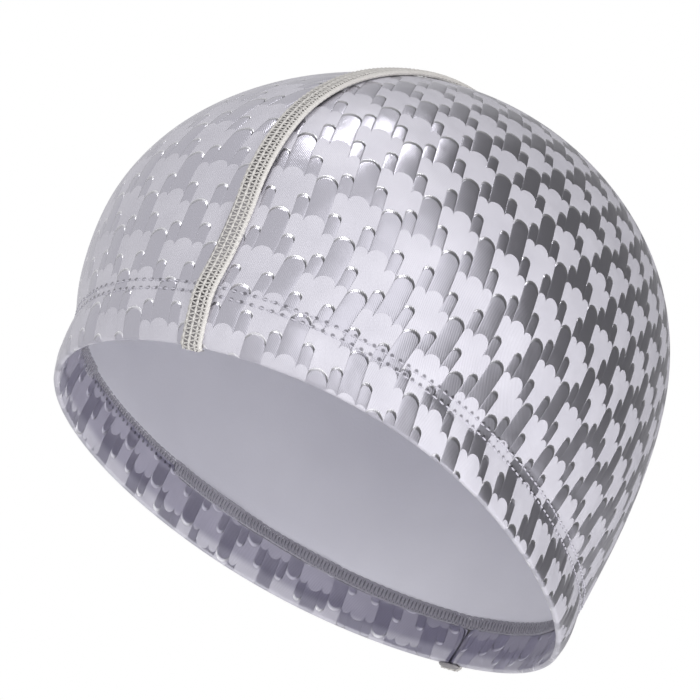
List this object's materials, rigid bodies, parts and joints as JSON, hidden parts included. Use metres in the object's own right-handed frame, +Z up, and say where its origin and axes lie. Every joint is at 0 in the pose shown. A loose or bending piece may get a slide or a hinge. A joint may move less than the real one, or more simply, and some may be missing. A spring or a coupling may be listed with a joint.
{
  "type": "swim cap",
  "caption": "Printed two-panel fabric swim cap in its worn form, with a crown seam, a turned-in hem and a plain lining, open underneath.",
  "frame": {"origin": "inside of the crown, at its highest point as the cap is worn, where it sits on the head", "axes": "+Z up, -Y out over the brow, +X towards the wearer's left ear; the rim slopes down to the nape by 30 degrees"},
  "size_m": [0.1738, 0.2125, 0.1868],
  "materials": {
    "coated_cloth": "silver-grey coated stretch cloth with an embossed foil scale pattern",
    "lining_cloth": "matt plain grey stretch knit",
    "seam_thread": "matt light grey cover thread"
  },
  "bodies": {
    "root": {"panel_left": "coated_cloth", "panel_right": "coated_cloth", "lining": "lining_cloth", "crown_seam": "seam_thread"}
  },
  "joints": []
}
